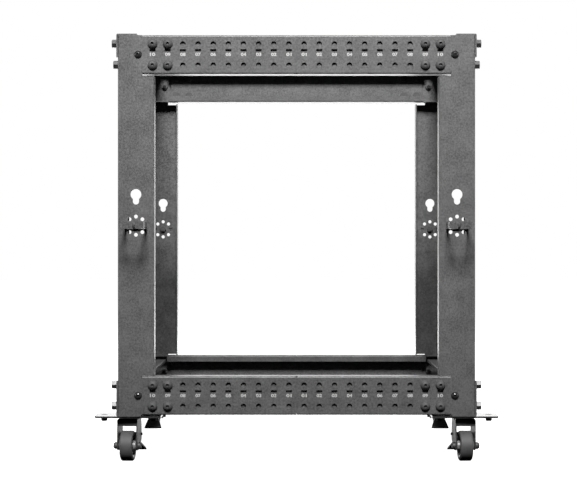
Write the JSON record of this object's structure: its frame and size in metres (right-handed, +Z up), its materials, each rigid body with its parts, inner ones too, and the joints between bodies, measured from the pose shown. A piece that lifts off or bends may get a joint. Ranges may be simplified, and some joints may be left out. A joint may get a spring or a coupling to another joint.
{
  "type": "open-frame equipment rack",
  "caption": "Open four-post steel equipment rack on braked swivel casters, with telescoping side beams that set its depth and cable hooks on its sides.",
  "frame": {"origin": "on the floor, under the middle of the closed rack", "axes": "+Z up; -X is the rack's front, +X its rear; -Y its right side as seen from the front"},
  "size_m": [0.669, 0.6472, 0.7075],
  "materials": {
    "frame_paint": "fine-textured charcoal powder coat",
    "rail_paint": "fine-textured charcoal powder coat",
    "hook_paint": "satin charcoal powder coat",
    "black_fastener": "black oxide, slightly oily",
    "caster_steel": "smooth dark grey coat",
    "zinc": "dark zinc plate",
    "tyre_rubber": "matt grey rubber",
    "hub_plastic": "moulded dark grey plastic",
    "pedal_plastic": "moulded black plastic",
    "number_print": "screen-printed off-white numbers"
  },
  "bodies": {
    "rear_frame": {"crossbar_top_rear": "frame_paint", "crossbar_bottom_rear": "frame_paint", "post_rear_right": "frame_paint", "beam_top_rear_right": "frame_paint", "beam_bottom_rear_right": "frame_paint", "cable_hook_rear_right": "hook_paint", "foot_plate_rear_right": "frame_paint", "post_rear_left": "frame_paint", "beam_top_rear_left": "frame_paint", "beam_bottom_rear_left": "frame_paint", "cable_hook_rear_left": "hook_paint", "foot_plate_rear_left": "frame_paint", "crossbar_bolts_rear": "black_fastener", "post_screws_rear": "black_fastener", "hook_screws_rear": "black_fastener", "frame_nuts_rear": "black_fastener", "caster_stems_rear": "zinc"},
    "slide_rails": {"slide_rail_top_right": "rail_paint", "slide_rail_top_left": "rail_paint", "slide_rail_bottom_right": "rail_paint", "slide_rail_bottom_left": "rail_paint", "depth_bolts": "black_fastener", "depth_nuts": "black_fastener"},
    "front_frame": {"crossbar_top_front": "frame_paint", "crossbar_bottom_front": "frame_paint", "post_front_right": "frame_paint", "beam_top_front_right": "frame_paint", "beam_bottom_front_right": "frame_paint", "cable_hook_front_right": "hook_paint", "foot_plate_front_right": "frame_paint", "post_front_left": "frame_paint", "beam_top_front_left": "frame_paint", "beam_bottom_front_left": "frame_paint", "cable_hook_front_left": "hook_paint", "foot_plate_front_left": "frame_paint", "crossbar_bolts_front": "black_fastener", "post_screws_front": "black_fastener", "hook_screws_front": "black_fastener", "frame_nuts_front": "black_fastener", "caster_stems_front": "zinc"},
    "swivel_front_right": {"caster_fork_front_right": "caster_steel", "caster_axle_front_right": "zinc"},
    "wheel_front_right": {"caster_tyre_front_right": "tyre_rubber", "caster_hub_front_right": "hub_plastic"},
    "pedal_front_right": {"brake_pedal_front_right": "pedal_plastic"},
    "swivel_front_left": {"caster_fork_front_left": "caster_steel", "caster_axle_front_left": "zinc"},
    "wheel_front_left": {"caster_tyre_front_left": "tyre_rubber", "caster_hub_front_left": "hub_plastic"},
    "pedal_front_left": {"brake_pedal_front_left": "pedal_plastic"},
    "swivel_rear_right": {"caster_fork_rear_right": "caster_steel", "caster_axle_rear_right": "zinc"},
    "wheel_rear_right": {"caster_tyre_rear_right": "tyre_rubber", "caster_hub_rear_right": "hub_plastic"},
    "pedal_rear_right": {"brake_pedal_rear_right": "pedal_plastic"},
    "swivel_rear_left": {"caster_fork_rear_left": "caster_steel", "caster_axle_rear_left": "zinc"},
    "wheel_rear_left": {"caster_tyre_rear_left": "tyre_rubber", "caster_hub_rear_left": "hub_plastic"},
    "pedal_rear_left": {"brake_pedal_rear_left": "pedal_plastic"}
  },
  "joints": [
    {"name": "rear_depth_slide", "type": "slide", "parent": "rear_frame", "child": "slide_rails", "axis": [-1, 0, 0], "range_m": [0, 0.15]},
    {"name": "front_depth_slide", "type": "slide", "parent": "slide_rails", "child": "front_frame", "axis": [-1, 0, 0], "range_m": [0, 0.15]},
    {"name": "swivel_front_right_turn", "type": "hinge", "parent": "front_frame", "child": "swivel_front_right", "pos_m": [-0.2795, -0.229, 0.066], "axis": [0, 0, 1], "continuous": true},
    {"name": "wheel_front_right_spin", "type": "hinge", "parent": "swivel_front_right", "child": "wheel_front_right", "pos_m": [-0.28027, -0.23997, 0.025], "axis": [0.9976, -0.0698, 0], "continuous": true},
    {"name": "pedal_front_right_lift", "type": "hinge", "parent": "swivel_front_right", "child": "pedal_front_right", "pos_m": [-0.2781, -0.20905, 0.041], "axis": [0.9976, -0.0698, 0], "range_deg": [0, 22]},
    {"name": "swivel_front_left_turn", "type": "hinge", "parent": "front_frame", "child": "swivel_front_left", "pos_m": [-0.2795, 0.229, 0.066], "axis": [0, 0, 1], "continuous": true},
    {"name": "wheel_front_left_spin", "type": "hinge", "parent": "swivel_front_left", "child": "wheel_front_left", "pos_m": [-0.28008, 0.23999, 0.025], "axis": [0.9986, 0.0523, 0], "continuous": true},
    {"name": "pedal_front_left_lift", "type": "hinge", "parent": "swivel_front_left", "child": "pedal_front_left", "pos_m": [-0.27845, 0.20903, 0.041], "axis": [-0.9986, -0.0523, 0], "range_deg": [0, 22]},
    {"name": "swivel_rear_right_turn", "type": "hinge", "parent": "rear_frame", "child": "swivel_rear_right", "pos_m": [0.2795, -0.229, 0.066], "axis": [0, 0, 1], "continuous": true},
    {"name": "wheel_rear_right_spin", "type": "hinge", "parent": "swivel_rear_right", "child": "wheel_rear_right", "pos_m": [0.28008, -0.23999, 0.025], "axis": [0.9986, 0.0523, 0], "continuous": true},
    {"name": "pedal_rear_right_lift", "type": "hinge", "parent": "swivel_rear_right", "child": "pedal_rear_right", "pos_m": [0.27845, -0.20903, 0.041], "axis": [0.9986, 0.0523, 0], "range_deg": [0, 22]},
    {"name": "swivel_rear_left_turn", "type": "hinge", "parent": "rear_frame", "child": "swivel_rear_left", "pos_m": [0.2795, 0.229, 0.066], "axis": [0, 0, 1], "continuous": true},
    {"name": "wheel_rear_left_spin", "type": "hinge", "parent": "swivel_rear_left", "child": "wheel_rear_left", "pos_m": [0.28008, 0.23999, 0.025], "axis": [0.9986, -0.0523, 0], "continuous": true},
    {"name": "pedal_rear_left_lift", "type": "hinge", "parent": "swivel_rear_left", "child": "pedal_rear_left", "pos_m": [0.27845, 0.20903, 0.041], "axis": [-0.9986, 0.0523, 0], "range_deg": [0, 22]}
  ]
}
